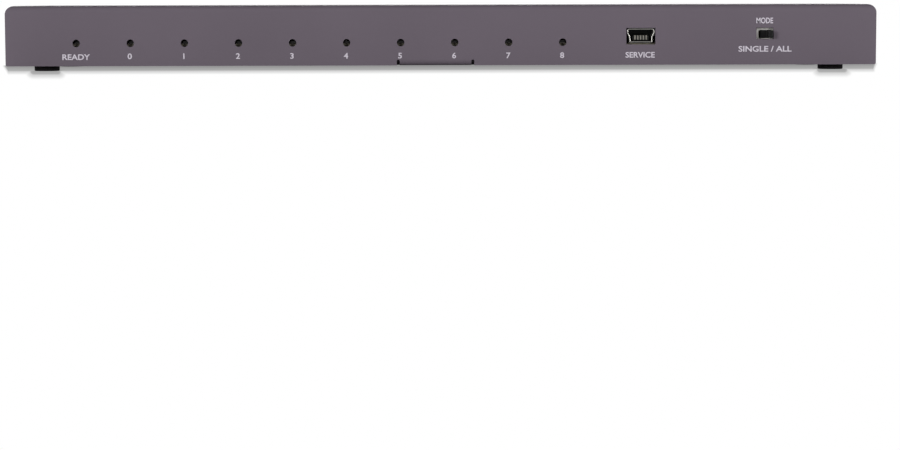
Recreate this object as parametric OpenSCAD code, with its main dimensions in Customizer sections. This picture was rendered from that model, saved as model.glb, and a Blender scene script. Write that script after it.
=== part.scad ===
// Slim video splitter with one input and eight outputs, in a folded sheet-metal case.
// The front panel faces -Y, +X is its right-hand end, and the feet stand on Z = 0.
// All sizes are in millimetres.

/* [Case] */
// Width of the case across its sides
case_w = 245; // [236:1:270]
// Depth of the case from the front panel to the rear lip
case_d = 66; // [60:1:90]
// Height of the cover from its lower edge to its top
case_h = 16.9; // [16.2:0.1:24]
// Thickness of the sheet metal
sheet_t = 1; // [0.7:0.1:1.2]
// Outer radius of the bends along the sides of the top
side_bend_r = 2.4; // [1.6:0.1:3.5]
// Outer radius of all other bends
bend_r = 1.8; // [1.5:0.1:2.2]
// Gap between the cover and the tray inside it
case_gap = 0.25; // [0.15:0.05:0.4]
// Rounding of the front panel's lower corners
corner_r = 0.5; // [0.2:0.1:1]
// Width of the open seams where folded walls meet
seam_w = 0.3; // [0.15:0.05:0.5]

/* [Front tab] */
// Width of the tab that folds under the tray
tab_w = 20.2; // [12:0.1:30]
// Distance of the tab's middle from the middle of the panel
tab_shift = -1.6; // [-10:0.1:10]
// Length of the tab under the tray
tab_len = 9.5; // [8.5:0.1:12]
// Width of the relief notch at each end of a bend
relief_w = 0.8; // [0.5:0.1:1.2]
// Height of the relief notch in the front panel
relief_h = 1.6; // [1.2:0.1:2.4]
// Depth of the stop bead that is pressed down into the tray behind the tab
bead_drop = 1.15; // [0.5:0.05:1.2]
// Gap between the end of the tab and the bead
bead_gap = 0.4; // [0.3:0.1:1]
// Distance the bead runs on past each notch
bead_run = 1.5; // [1:0.1:2.5]

/* [Side vents] */
// Number of vent slots in each side
vent_count = 7; // [3:1:9]
// Width of a vent slot
vent_w = 1.6; // [1:0.1:2]
// Height of a vent slot
vent_h = 8; // [5:0.1:9]
// Distance from one vent slot to the next
vent_pitch = 3.4; // [2.6:0.1:3.6]
// Height of the vents' middle above the cover's lower edge
vent_rise = 8; // [7:0.1:9]

/* [Feet] */
// Diameter of a foot
foot_d = 7.1; // [5:0.1:9]
// Height of the cover's lower edge above the table
foot_drop = 1.5; // [1.2:0.1:4]
// Distance from the side of the case to the middle of a foot
foot_inset_x = 10.9; // [9:0.1:20]
// Distance from the front or back of the case to the middle of a foot
foot_inset_y = 9; // [7:0.1:15]
// Distance of the feet's middle from the middle of the case
foot_shift = -0.6; // [-1:0.1:1]
// Rounding of a foot's lower edge
foot_edge_r = 0.3; // [0.2:0.1:0.8]

/* [Fixings] */
// Diameter of the board and tab screws
screw_d = 2.9; // [2.4:0.1:3]
// Diameter of the side screws
side_screw_d = 2.5; // [2:0.1:2.6]
// Diameter of the side screws' countersunk heads
side_head_d = 4.6; // [4.2:0.1:5]
// Diameter of the heads of the board and tab screws
head_d = 5.2; // [4.6:0.1:5.6]
// Height of the board screws' heads
head_h = 1.7; // [1.2:0.1:2]
// Radial clearance of a screw in the hole that it passes through
pass_gap = 0.2; // [0.1:0.05:0.3]
// Radial clearance of a screw in its thread, and of parts that are pressed together
fit_gap = 0.04; // [0.02:0.01:0.08]
// Width of the ears on the tray that take the side screws
ear_w = 9; // [8:0.1:12]
// Height of an ear's hole above the tray's underside
ear_hole_rise = 7; // [6:0.1:8]
// Distance of an ear's middle from the front or back of the case
ear_inset_y = 16; // [15:0.1:18]
// Wall of the collars drawn up round threaded holes
collar_wall = 0.9; // [0.6:0.1:1.2]
// Height of those collars
collar_h = 1.2; // [0.8:0.1:1.6]

/* [Board] */
// Thickness of the circuit board
board_t = 1.6; // [1:0.1:2]
// Height of the standoffs under the board
standoff_h = 2.5; // [2.2:0.1:3.4]
// Diameter of a standoff
standoff_d = 5.5; // [5:0.1:6]
// Gap between the board and the ears of the tray
board_gap_x = 2; // [1.6:0.1:4]
// Gap between the board and the front panel or the rear wall
board_gap_y = 0.5; // [0.3:0.1:1]
// Distance of the outer standoffs from the ends of the board
standoff_inset_x = 6.5; // [5:0.1:7]
// Distance of the front standoffs from the front panel
standoff_front_y = 10; // [9:0.1:12]
// Distance of the rear standoffs from the back of the case
standoff_rear_y = 20; // [19:0.1:22]
// Distance of the middle standoffs from the middle of the case
standoff_mid_x = 22; // [18:0.1:26]

/* [Indicators] */
// Distance from one indicator hole to the next, before the row is fitted to the case
led_pitch = 15.2; // [8:0.1:15.8]
// Distance from the last indicator hole to the service port, before the row is fitted
led_end_gap = 22; // [18:0.1:28]
// Distance of the first indicator hole from the left side of the case
led_margin = 19.9; // [16:0.1:24]
// Diameter of an indicator hole
led_hole_d = 2.1; // [1.6:0.1:3]
// Height of the holes above the upper face of the board
led_rise = 0.3; // [0:0.1:1]
// Length of a light-emitting diode
led_l = 2; // [1.6:0.1:3]
// Depth of a light-emitting diode
led_depth = 1.25; // [0.8:0.05:1.6]
// Height of a light-emitting diode
led_h = 0.8; // [0.6:0.1:1.2]
// Distance of a diode from the front edge of the board
led_setback = 1.6; // [0.5:0.1:2.5]

/* [Service port] */
// Distance of the port's middle from the right side of the case
usb_margin = 66.3; // [60:0.1:67]
// Width of the port's metal shell
usb_w = 7.7; // [7.5:0.1:8]
// Height of the port's metal shell
usb_h = 3.9; // [3.8:0.05:4.2]
// Width of the narrow lower half of the shell
usb_base_w = 6.5; // [6:0.1:7]
// Length of the shell
usb_len = 9; // [7:0.1:9.2]
// Wall of the shell
usb_wall = 0.3; // [0.2:0.05:0.4]
// Height of the shell above the board, on its two solder feet
usb_lift = 0.2; // [0.1:0.05:0.3]
// Distance of the shell's mouth behind the outer face of the panel
usb_recess = 0.2; // [0:0.1:0.6]
// Rounding of the shell's upper corners
usb_corner_r = 0.7; // [0.6:0.05:0.8]
// Clearance beside the shell in the panel
usb_cut_gap = 0.24; // [0.15:0.01:0.4]
// Clearance above the shell in the panel
usb_top_gap = 0.12; // [0.05:0.01:0.3]
// Clearance below the shell in the panel
usb_low_gap = 0.58; // [0.35:0.01:0.65]
// Thickness of the tongue
usb_tongue_t = 1.3; // [1:0.1:1.5]
// Width of the tongue
usb_tongue_w = 4.7; // [4.4:0.1:5]

/* [Slide switch] */
// Distance of the switch's middle from the right side of the case
sw_margin = 31.1; // [25:0.1:40]
// Width of the switch's metal frame
sw_w = 8.6; // [8.4:0.1:10]
// Height of the frame
sw_h = 4.9; // [4.6:0.1:5.4]
// Depth of the frame
sw_depth = 4; // [3.8:0.1:5]
// Wall of the frame
sw_wall = 0.35; // [0.25:0.05:0.4]
// Width of the knob
knob_w = 1.3; // [1.2:0.1:2]
// Height of the knob
knob_h = 2.1; // [1.6:0.1:2.4]
// Distance the knob stands out of the front panel
knob_proud = 1.4; // [1:0.1:2.5]
// Distance the knob travels
sw_travel = 2.4; // [2:0.1:2.4]
// Clearance of the knob in the frame's window
window_gap = 0.1; // [0.08:0.01:0.2]
// Clearance of the knob's path in the panel
slot_gap = 0.53; // [0.3:0.01:0.6]
// Distance of the panel slot's middle from that of the knob's path
slot_shift = -0.25; // [-0.25:0.05:0.25]
// Height of the panel slot's middle above that of the knob
slot_rise = 0.2; // [0:0.05:0.2]
// Running clearance of the slider
slide_gap = 0.06; // [0.04:0.01:0.1]

/* [Video sockets] */
// Distance from one output socket to the next, before the row is fitted to the case
hdmi_pitch = 23; // [19:0.1:24]
// Distance from the input socket to the first output socket, before the row is fitted
in_gap = 26; // [20:0.1:30]
// Distance from the power inlet to the input socket, before the row is fitted
dc_gap = 24; // [21:0.1:27]
// Distance of the last output socket's middle from the left side of the case
row_margin = 17; // [14:0.1:20]
// Distance of the power inlet's middle from the right side of the case
dc_margin = 17; // [14:0.1:20]
// Width of a socket's opening
hdmi_open_w = 14; // [13.9:0.01:14.1]
// Height of a socket's opening
hdmi_open_h = 4.55; // [4.5:0.01:4.6]
// Width of the narrow lower side of the opening
hdmi_base_w = 11; // [10:0.1:12]
// Depth below the middle at which the sides turn in
hdmi_waist = 0.35; // [0:0.05:0.8]
// Wall of a socket's shell
hdmi_wall = 0.3; // [0.25:0.05:0.4]
// Length of a socket's shell
hdmi_len = 11; // [10:0.1:12]
// Width of the flared rim at the mouth
hdmi_flare = 0.35; // [0.2:0.05:0.5]
// Height of the shell above the board
hdmi_seat = 0.5; // [0.3:0.1:0.8]
// Distance the sockets stand out at the back
mouth_proud = 0.5; // [0.2:0.1:1]
// Clearance round the sockets and the power inlet in the rear wall
mouth_gap = 0.3; // [0.2:0.05:0.5]
// Width of the tongue in a socket
tongue_w = 11.2; // [10.8:0.1:11.6]
// Thickness of the tongue
tongue_t = 1.3; // [1.1:0.1:1.6]
// Distance of the tongue's tip behind the mouth
tongue_recess = 1.2; // [1:0.1:2]
// Width of a contact strip
contact_w = 0.4; // [0.3:0.05:0.5]
// Distance from one contact strip to the next
contact_pitch = 1; // [0.9:0.05:1.05]
// Thickness of a contact strip
contact_t = 0.1; // [0.06:0.01:0.15]

/* [Power inlet] */
// Width of the inlet's body
dc_w = 9; // [8.4:0.1:10]
// Height of the inlet's body
dc_h = 8.3; // [8.2:0.1:8.6]
// Depth of the inlet's body
dc_len = 10.5; // [10:0.1:13]
// Height of the inlet's middle above the board
dc_axis = 4.2; // [4.1:0.05:4.3]
// Diameter of the round nose
dc_nose_d = 8; // [7.6:0.1:8.2]
// Diameter of the bore
dc_bore_d = 6.2; // [5.8:0.1:6.4]
// Depth of the bore
dc_bore_l = 9.5; // [9:0.1:10]
// Diameter of the centre pin
dc_pin_d = 2; // [1.9:0.1:2.5]
// Distance of the pin's tip behind the mouth
dc_pin_recess = 1.5; // [1:0.1:3]

/* [Circuit parts] */
// Side of a splitter chip
chip_s = 14; // [10:0.1:16]
// Height of a splitter chip
chip_h = 1.4; // [1:0.1:1.6]
// Thickness of the thermal pads
pad_t = 0.5; // [0.3:0.1:0.6]
// Side of a heat sink
sink_s = 20; // [18:0.1:22]
// Thickness of a heat sink's base
sink_base_t = 1.3; // [1:0.1:1.5]
// Height of the fins
fin_h = 3.4; // [2:0.1:3.6]
// Thickness of a fin
fin_t = 0.8; // [0.6:0.1:1]
// Number of fins on a heat sink
fin_count = 8; // [5:1:9]
// Distance of the heat sinks from the middle of the case
chip_x = 52; // [40:0.1:60]
// Side of the control chip
mcu_s = 9; // [7:0.1:10]
// Distance of the chips from the front panel, to their middle
chip_inset_y = 24; // [22:0.1:28]
// Distance of the control chip from the middle of the case, to the left
mcu_x = 8; // [4:0.1:12]
// Diameter of a capacitor's can
cap_d = 6.3; // [5:0.1:6.4]
// Height of a capacitor
cap_h = 5.8; // [5:0.1:6.4]
// Number of capacitors
cap_count = 3; // [2:1:4]
// Gap between two capacitors
cap_gap = 2.5; // [1.5:0.1:3]
// Distance of the capacitors from the middle standoffs
cap_shift = 8; // [7:0.1:10]
// Gap between the capacitors' row and the inductor
coil_gap = 4; // [3.5:0.1:6]
// Side of the inductor
coil_s = 7.2; // [6:0.1:8]
// Height of the inductor
coil_h = 4; // [3:0.1:5]

/* [Hidden] */
$fn = 48;
eps = 0.5;
outputs = 8;
ports = ["in", "out_1", "out_2", "out_3", "out_4", "out_5", "out_6", "out_7", "out_8"];
leds = ["power_led", "input_led", "output_led_1", "output_led_2", "output_led_3", "output_led_4",
        "output_led_5", "output_led_6", "output_led_7", "output_led_8"];
feet = ["front_left", "front_right", "rear_left", "rear_right"];

// Heights, from the table up
z_edge = foot_drop;
z_top = z_edge + case_h;
z_tray = z_edge + sheet_t;
z_floor = z_tray + sheet_t;
z_board = z_floor + standoff_h;
z_parts = z_board + board_t;
z_wall = z_top - sheet_t - case_gap;

// Depths, with the whole object centred on Y = 0
total_d = knob_proud + case_d + mouth_proud;
y_front = knob_proud - total_d / 2;
y_back = y_front + case_d;
y_mouth = y_back + mouth_proud;
y_panel = y_front + sheet_t;
y_tray = y_panel + case_gap;
bead_half = sqrt(pow(bead_drop + sheet_t, 2) - pow(sheet_t, 2));
y_bead = y_front + tab_len + bead_gap + bead_half;
y_wall = y_back - sheet_t - case_gap;
y_board = y_panel + board_gap_y;
y_board_end = y_wall - sheet_t - board_gap_y;

// Widths. Each row stretches or shrinks to fit between its two ends
tray_w = case_w - 2 * (sheet_t + case_gap);
board_w = tray_w - 2 * (sheet_t + board_gap_x);
row_w = (outputs - 1) * hdmi_pitch + in_gap + dc_gap;
row_fit = (case_w - row_margin - dc_margin) / row_w;
dc_x = case_w / 2 - dc_margin;
in_x = dc_x - row_fit * dc_gap;
function port_x(k) = k == 0 ? in_x : in_x - row_fit * (in_gap + (k - 1) * hdmi_pitch);
usb_x = case_w / 2 - usb_margin;
led_start = led_margin - case_w / 2;
led_fit = (usb_x - led_start) / ((len(leds) - 1) * led_pitch + led_end_gap);
led_x = [for (i = [0 : len(leds) - 1]) led_start + i * led_fit * led_pitch];
sw_x = case_w / 2 - sw_margin;
foot_at = [for (sy = [-1, 1], sx = [-1, 1])
    [sx * (case_w / 2 - foot_inset_x) + foot_shift, sy < 0 ? y_front + foot_inset_y : y_back - foot_inset_y]];
ear_y = [y_front + ear_inset_y, y_back - ear_inset_y];
standoff_end_x = board_w / 2 - standoff_inset_x;
standoff_at = [for (x = [-standoff_end_x, standoff_mid_x, standoff_end_x],
    y = [y_front + standoff_front_y, y_back - standoff_rear_y]) [x, y]];

// Video socket
z_hdmi = z_parts + hdmi_seat + hdmi_wall + hdmi_open_h / 2;
hdmi_rim = hdmi_wall + hdmi_flare;
flare_l = 0.4;
z_lip = z_hdmi + hdmi_open_h / 2 + hdmi_rim + mouth_gap;
hdmi_block_l = 2.4;
tongue_root = hdmi_len - hdmi_block_l;
tail_l = 1.6;
tail_w = hdmi_base_w + 1;
leg_w = 1.3;
leg_gap = 0.25;
leg_inset = 1;
leg_front = 4.8;
leg_at = [leg_front, hdmi_len - leg_inset];
spring_w = 1.6;
spring_l = 4.6;
spring_x = 3.2;
spring_tilt = 1.5;
spring_slit = 0.25;
spring_t = 0.24;
spring_y = -tongue_root / 2 - leg_inset;
top_contacts = 10;
low_contacts = 9;
contact_setback = 0.4;

// Power inlet
z_dc = z_parts + dc_axis;
y_dc = y_wall - sheet_t - case_gap;
y_dc_bore = y_mouth - dc_bore_l;
dc_notch_r = dc_nose_d / 2 + mouth_gap;
lip_step_x = dc_x - dc_notch_r - row_fit * dc_gap / 4;
z_lip_step = z_dc + dc_notch_r;
dc_root_step = 0.4;
dc_root_d = dc_pin_d + 2 * dc_root_step;
dc_spring_w = 2.2;
dc_spring_t = 0.25;
dc_spring_tilt = 7;
dc_pocket = 0.6;

// Service port
y_usb = y_front + usb_recess;
z_usb = z_parts + usb_lift + usb_h / 2;
usb_foot_w = 1.2;
usb_turn = 0.7;
usb_taper_h = 1.25;
usb_tongue_top = -0.08;
usb_tongue_recess = 1;
usb_block_l = 2.4;
usb_contact_count = 5;
usb_contact_pitch = 0.8;
usb_leg_h = 0.85 * usb_tongue_t;

// Slide switch
y_sw = y_panel + case_gap;
z_sw = z_parts + sw_h / 2;
sw_base_t = 1;
sw_end_y = y_sw + sw_depth;
slider_h = sw_h - 2 * (sw_wall + slide_gap);
slider_w = sw_w - 2 * (sw_wall + slide_gap) - sw_travel;
slider_t = 1.2;
y_slider = y_sw + sw_wall + slide_gap;
window_w = knob_w + sw_travel + 2 * window_gap;
window_h = knob_h + 2 * window_gap;
window_r = 0.45;
clip_t = 0.2;
clip_w = 3;
clip_h = 1.4;
clip_bow_r = (sw_end_y - sw_base_t - slide_gap - y_slider - slider_t) / 2;

// Circuit parts
y_chip = y_front + chip_inset_y;
cap_pitch = cap_d + cap_gap;
cap_x = standoff_mid_x + cap_shift;
coil_x = cap_x - coil_s - coil_gap;
crystal_w = 11;
crystal_d = 4.4;
crystal_h = 3.4;
coil_corner = 1.2;
cap_base_h = 0.8;
led_lens_share = 0.7;
led_base_share = 0.4;
recess_w = 0.5;
recess_h = 0.5;

// A box between two corners
module slab(from, to) {
    translate(from) cube(to - from);
}

// An outline drawn in X and Z, run from one Y to another
module along_y(from, to) {
    translate([0, to, 0]) rotate([90, 0, 0]) linear_extrude(to - from) children();
}

// An outline drawn in Y and Z, run from one X to another
module along_x(from, to) {
    translate([from, 0, 0]) rotate([90, 0, 90]) linear_extrude(to - from) children();
}

// A rectangle with its corners at both ends of the upper edge rounded
module round_top(x0, x1, z0, z1, r) {
    translate([x0, z0]) square([x1 - x0, z1 - z0 - r]);
    translate([x0 + r, z0]) square([x1 - x0 - 2 * r, z1 - z0]);
    for (x = [x0 + r, x1 - r])
        translate([x, z1 - r]) circle(r);
}

// A quarter-round bend in a flat sheet: an L with its corner at the origin, legs along +X and +Y
module bent_sheet(leg_x, leg_y, t, r) {
    difference() {
        one_round_corner(leg_x, leg_y, r);
        translate([t, t]) one_round_corner(leg_x, leg_y, r - t);
    }
}

module one_round_corner(w, h, r) {
    translate([r, 0]) square([w - r, h]);
    translate([0, r]) square([w, h - r]);
    translate([r, r]) circle(r);
}

module rounded_rect(w, h, r) {
    square([w - 2 * r, h], center = true);
    square([w, h - 2 * r], center = true);
    for (x = [r - w / 2, w / 2 - r], y = [r - h / 2, h / 2 - r])
        translate([x, y]) circle(r);
}

// A slot with round ends, standing along the second axis
module round_slot(w, h) {
    square([w, h - w], center = true);
    for (end = [-1, 1])
        translate([0, end * (h - w) / 2]) circle(d = w);
}

// A cross recess for a screwdriver, sunk down from Z = 0
module cross_recess(d) {
    for (a = [0, 90])
        rotate(a) translate([-d / 4, -recess_w / 2, -recess_h]) cube([d / 2, recess_w, recess_h + eps]);
}

// Case

// The space inside the cover's outer faces, drawn in by an inset and run down past its lower edge
module cover_block(inset, drop) {
    intersection() {
        along_y(y_front + inset, y_back - inset)
            round_top(inset - case_w / 2, case_w / 2 - inset, z_edge - drop, z_top - inset,
                side_bend_r - inset);
        along_x(-case_w / 2, case_w / 2)
            round_top(y_front + inset, y_back - inset, z_edge - drop, z_top - inset, bend_r - inset);
    }
}

module front_holes() {
    for (x = led_x)
        translate([x, 0, z_parts + led_rise])
            along_y(y_front - eps, y_panel + eps) circle(d = led_hole_d);
    translate([usb_x, 0, z_usb + (usb_top_gap - usb_low_gap) / 2])
        along_y(y_front - eps, y_panel + eps)
            square([usb_w + 2 * usb_cut_gap, usb_h + usb_top_gap + usb_low_gap], center = true);
    translate([sw_x + slot_shift, 0, z_sw + slot_rise])
        along_y(y_front - eps, y_panel + eps)
            square([knob_w + sw_travel + 2 * slot_gap, knob_h + 2 * slot_gap], center = true);
}

module side_openings() {
    for (side = [-1, 1]) {
        x0 = side * case_w / 2;
        for (y = ear_y)
            translate([x0, y, z_tray + ear_hole_rise]) rotate([0, -90 * side, 0])
                flush_hole(side_head_d, side_screw_d);
        for (i = [0 : vent_count - 1])
            translate([0, (y_front + y_back) / 2 + (i - (vent_count - 1) / 2) * vent_pitch,
                z_edge + vent_rise])
                along_x(x0 - sheet_t - eps, x0 + sheet_t + eps)
                    round_slot(vent_w, vent_h);
        slab([x0 - sheet_t - eps, y_panel, z_edge - eps],
            [x0 + sheet_t + eps, y_panel + seam_w, z_top - side_bend_r]);
    }
}

// Countersunk through the sheet, from the outer face at Z = 0 inwards along +Z
module flush_hole(head, shank) {
    cylinder(h = sheet_t, d1 = head + 2 * fit_gap, d2 = shank + 2 * fit_gap);
    translate([0, 0, -eps]) cylinder(h = 2 * sheet_t, d = shank + 2 * fit_gap);
}

// Below the lip the back is open to the sockets, with a step up over the power inlet
module rear_opening() {
    half = case_w / 2 - sheet_t;
    slab([-half, y_back - sheet_t - eps, z_edge - eps], [half, y_back + eps, z_lip]);
    slab([lip_step_x, y_back - sheet_t - eps, z_edge - eps], [half, y_back + eps, z_lip_step]);
    for (side = [-1, 1])
        translate([side * (half - seam_w / 2), 0, 0])
            slab([-seam_w / 2, y_back - sheet_t - eps, z_edge - eps],
                [seam_w / 2, y_back + eps, z_top - bend_r]);
}

module panel_corners() {
    for (side = [-1, 1])
        translate([side * case_w / 2, 0, z_edge])
            along_y(y_front - eps, y_panel + seam_w / 2)
                difference() {
                    square(2 * corner_r, center = true);
                    translate([-side * corner_r, corner_r]) circle(corner_r);
                }
}

module tab_relief() {
    r = relief_w / 2;
    for (side = [-1, 1])
        translate([tab_shift + side * (tab_w / 2 + r), 0, z_edge]) {
            along_y(y_front - eps, y_panel + eps) translate([0, relief_h - r]) circle(r);
            slab([-r, y_front - eps, -eps], [r, y_panel + eps, relief_h - r]);
        }
}

module top_cover() {
    color("#665f67") {
        difference() {
            cover_block(0, 0);
            cover_block(sheet_t, eps);
            front_holes();
            side_openings();
            rear_opening();
            panel_corners();
            tab_relief();
            slab([tab_shift - tab_w / 2, y_front - eps, z_edge - eps],
                [tab_shift + tab_w / 2, y_panel + eps, z_edge + bend_r]);
        }
        difference() {
            along_x(tab_shift - tab_w / 2, tab_shift + tab_w / 2)
                translate([y_front, z_edge]) bent_sheet(tab_len, bend_r + relief_h / 2, sheet_t, bend_r);
            tab_screw_axis() flush_hole(head_d, screw_d);
        }
    }
}

// Places its children at the tab's screw, on the underside of the tab
module tab_screw_axis() {
    translate([tab_shift, y_front + tab_len - head_d / 2 - sheet_t, z_edge]) children();
}

// Notches for the sockets and the power inlet, open to the top so that the board can be lowered in
module rear_wall_notches() {
    grow = hdmi_rim + mouth_gap;
    half = hdmi_open_w / 2 + grow;
    for (k = [0 : outputs])
        translate([port_x(k), 0, z_hdmi]) {
            along_y(y_wall - sheet_t - eps, y_wall + eps) polygon(hdmi_outline(grow));
            slab([-half, y_wall - sheet_t - eps, 0], [half, y_wall + eps, case_h]);
        }
    translate([dc_x, 0, 0]) {
        translate([0, 0, z_dc]) along_y(y_wall - sheet_t - eps, y_wall + eps) circle(dc_notch_r);
        slab([-dc_notch_r, y_wall - sheet_t - eps, z_dc], [dc_notch_r, y_wall + eps, z_top]);
    }
}

// An ear folded up from the tray's edge, with a threaded collar for a side screw
module tray_ear(side, y) {
    bore_d = side_screw_d + 2 * fit_gap;
    hole_z = z_tray + ear_hole_rise;
    ear_h = ear_hole_rise + side_head_d;
    translate([side * tray_w / 2, y, 0]) mirror([side > 0 ? 1 : 0, 0, 0])
        difference() {
            union() {
                along_y(-ear_w / 2, ear_w / 2)
                    translate([0, z_tray]) bent_sheet(bend_r + relief_w, ear_h, sheet_t, bend_r);
                translate([0, 0, hole_z]) rotate([0, 90, 0])
                    cylinder(h = sheet_t + collar_h, d = bore_d + 2 * collar_wall);
            }
            translate([-eps, 0, hole_z]) rotate([0, 90, 0])
                cylinder(h = sheet_t + collar_h + 2 * eps, d = bore_d);
        }
}

// A flat floor with the rear wall folded up from it
module tray_sheet() {
    intersection() {
        along_x(-tray_w / 2, tray_w / 2)
            translate([y_wall, z_tray]) mirror([1, 0])
                bent_sheet(y_wall - y_tray, z_wall - z_tray, sheet_t, bend_r);
        along_y(y_tray, y_wall)
            round_top(-tray_w / 2, tray_w / 2, z_tray, z_wall, side_bend_r - sheet_t);
    }
}

// A rod with round ends along the tray's upper face, behind the tab
module bead_rod(r) {
    half = tab_w / 2 + relief_w + bead_run;
    translate([tab_shift, y_bead, z_floor]) {
        along_x(-half, half) circle(r);
        for (side = [-1, 1])
            translate([side * half, 0, 0]) sphere(r);
    }
}

module base_tray() {
    thread_d = screw_d + 2 * fit_gap;
    color("#5c565d") {
        difference() {
            union() {
                tray_sheet();
                intersection() {
                    bead_rod(bead_drop + sheet_t);
                    slab([-tray_w / 2, y_tray, 0], [tray_w / 2, y_wall, z_tray + sheet_t / 2]);
                }
                tab_screw_axis() translate([0, 0, sheet_t])
                    cylinder(h = sheet_t + collar_h, d = thread_d + 2 * collar_wall);
            }
            bead_rod(bead_drop);
            rear_wall_notches();
            tab_screw_axis() cylinder(h = 8 * sheet_t, d = thread_d);
            for (p = standoff_at)
                translate([p.x, p.y, z_tray - eps])
                    cylinder(h = sheet_t + 2 * eps, d = standoff_d - 2 * sheet_t);
            for (side = [-1, 1], y = ear_y)
                translate([side * tray_w / 2, y, z_tray])
                    cube([2 * bend_r, ear_w + 2 * relief_w, 4 * sheet_t], center = true);
        }
        for (side = [-1, 1], y = ear_y)
            tray_ear(side, y);
    }
}

module foot(p) {
    r = foot_d / 2;
    color("#1d1c1e") translate([p.x, p.y, 0]) rotate_extrude() {
        square([r - foot_edge_r, z_tray]);
        translate([0, foot_edge_r]) square([r, z_tray - foot_edge_r]);
        intersection() {
            translate([r - foot_edge_r, foot_edge_r]) circle(foot_edge_r);
            square([r, z_tray]);
        }
    }
}

// Fixings

module flush_screw(head, shank, length) {
    difference() {
        union() {
            cylinder(h = sheet_t, d1 = head, d2 = shank);
            cylinder(h = length, d = shank);
        }
        mirror([0, 0, 1]) cross_recess(head);
    }
}

module side_screws() {
    color("#3a383b")
        for (side = [-1, 1], y = ear_y)
            translate([side * case_w / 2, y, z_tray + ear_hole_rise]) rotate([0, -90 * side, 0])
                flush_screw(side_head_d, side_screw_d, 2 * sheet_t + case_gap + collar_h);
}

module tab_screw() {
    color("#3a383b") tab_screw_axis() flush_screw(head_d, screw_d, 2 * sheet_t + collar_h);
}

// Each standoff has a spigot pressed into the tray
module board_standoffs() {
    color("#b9b6ae")
        for (p = standoff_at)
            translate([p.x, p.y, z_floor])
                difference() {
                    union() {
                        cylinder(h = standoff_h, d = standoff_d);
                        translate([0, 0, -sheet_t])
                            cylinder(h = sheet_t, d = standoff_d - 2 * sheet_t - 2 * fit_gap);
                    }
                    translate([0, 0, -sheet_t - eps])
                        cylinder(h = sheet_t + standoff_h + 2 * eps, d = screw_d + 2 * fit_gap);
                }
}

module board_screws() {
    color("#c9c8c4")
        for (p = standoff_at)
            translate([p.x, p.y, z_parts])
                difference() {
                    union() {
                        cylinder(h = head_h, d = head_d);
                        translate([0, 0, -board_t - standoff_h])
                            cylinder(h = board_t + standoff_h, d = screw_d);
                    }
                    translate([0, 0, head_h]) cross_recess(head_d);
                }
}

// Board

module main_board() {
    color("#1f4a2c")
        difference() {
            slab([-board_w / 2, y_board, z_board], [board_w / 2, y_board_end, z_parts]);
            for (p = standoff_at)
                translate([p.x, p.y, z_board - eps])
                    cylinder(h = board_t + 2 * eps, d = screw_d + 2 * pass_gap);
            for (k = [0 : outputs], side = [-1, 1], l = leg_at)
                translate([port_x(k) + side * (hdmi_open_w + hdmi_wall) / 2, y_mouth - l, z_board])
                    cube([hdmi_wall + 2 * leg_gap, leg_w + 2 * leg_gap, 4 * board_t], center = true);
        }
}

module led(x) {
    lens_l = led_l * led_lens_share;
    base_h = led_h * led_base_share;
    color("#d8d6c8") translate([x, y_board + led_setback, z_parts]) {
        slab([-led_l / 2, 0, 0], [led_l / 2, led_depth, base_h]);
        slab([-lens_l / 2, 0, 0], [lens_l / 2, led_depth, led_h]);
    }
}

// Video sockets, drawn with the mouth's middle at the origin and the mouth facing +Y

// The socket's outline, grown outwards by g
function hdmi_outline(g) =
    let (slant = atan2((hdmi_open_w - hdmi_base_w) / 2, hdmi_open_h / 2 - hdmi_waist),
        half = hdmi_open_w / 2 + g,
        rise = hdmi_open_h / 2 + g,
        turn = hdmi_waist + g * tan(slant / 2),
        base = hdmi_base_w / 2 + g * tan(45 - slant / 2))
    [[-half, rise], [-half, -turn], [-base, -rise], [base, -rise], [half, -turn], [half, rise]];

module hdmi_at(k) {
    translate([port_x(k), y_mouth, z_hdmi]) children();
}

// A leaf cut free of the upper wall by a slit and sprung inwards, and the window that it stands in
module hdmi_leaf() {
    leaf_l = spring_l - spring_slit;
    translate([-spring_w / 2, spring_l / 2, hdmi_open_h / 2]) rotate([spring_tilt, 0, 0])
        translate([0, -leaf_l, 0]) cube([spring_w, leaf_l, spring_t]);
}

module hdmi_window() {
    translate([-spring_w / 2 - spring_slit, -spring_l / 2, hdmi_open_h / 2 - hdmi_wall])
        cube([spring_w + 2 * spring_slit, spring_l - hdmi_wall, 3 * hdmi_wall]);
}

module hdmi_springs(y) {
    for (flip = [0, 1], side = [-1, 1])
        mirror([0, 0, flip]) translate([side * spring_x, y, 0]) children();
}

module hdmi_shell(k) {
    color("#b8b7b2") hdmi_at(k) {
        difference() {
            union() {
                along_y(-hdmi_len, 0) polygon(hdmi_outline(hdmi_wall));
                along_y(-flare_l, 0) polygon(hdmi_outline(hdmi_rim));
            }
            along_y(-hdmi_len - eps, eps) polygon(hdmi_outline(0));
            hdmi_springs(spring_y) hdmi_window();
        }
        hdmi_springs(spring_y) hdmi_leaf();
        for (side = [-1, 1], l = leg_at)
            translate([side * (hdmi_open_w + hdmi_wall) / 2, -l, 0])
                slab([-hdmi_wall / 2, -leg_w / 2, z_board - z_hdmi], [hdmi_wall / 2, leg_w / 2, 0]);
    }
}

module hdmi_insulator(k) {
    color("#1a1a1c") hdmi_at(k) {
        along_y(-hdmi_len, -tongue_root) polygon(hdmi_outline(-fit_gap));
        slab([-tail_w / 2, -hdmi_len - tail_l, z_parts - z_hdmi], [tail_w / 2, -hdmi_len, hdmi_open_h / 2]);
        slab([-tongue_w / 2, -hdmi_len, -tongue_t / 2], [tongue_w / 2, -tongue_recess, tongue_t / 2]);
    }
}

// One row of contact strips lying on a face of the tongue
module contact_row(count, pitch, w, l, t) {
    for (i = [0 : count - 1])
        translate([(i - (count - 1) / 2) * pitch - w / 2, 0, 0]) cube([w, l, t]);
}

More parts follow.
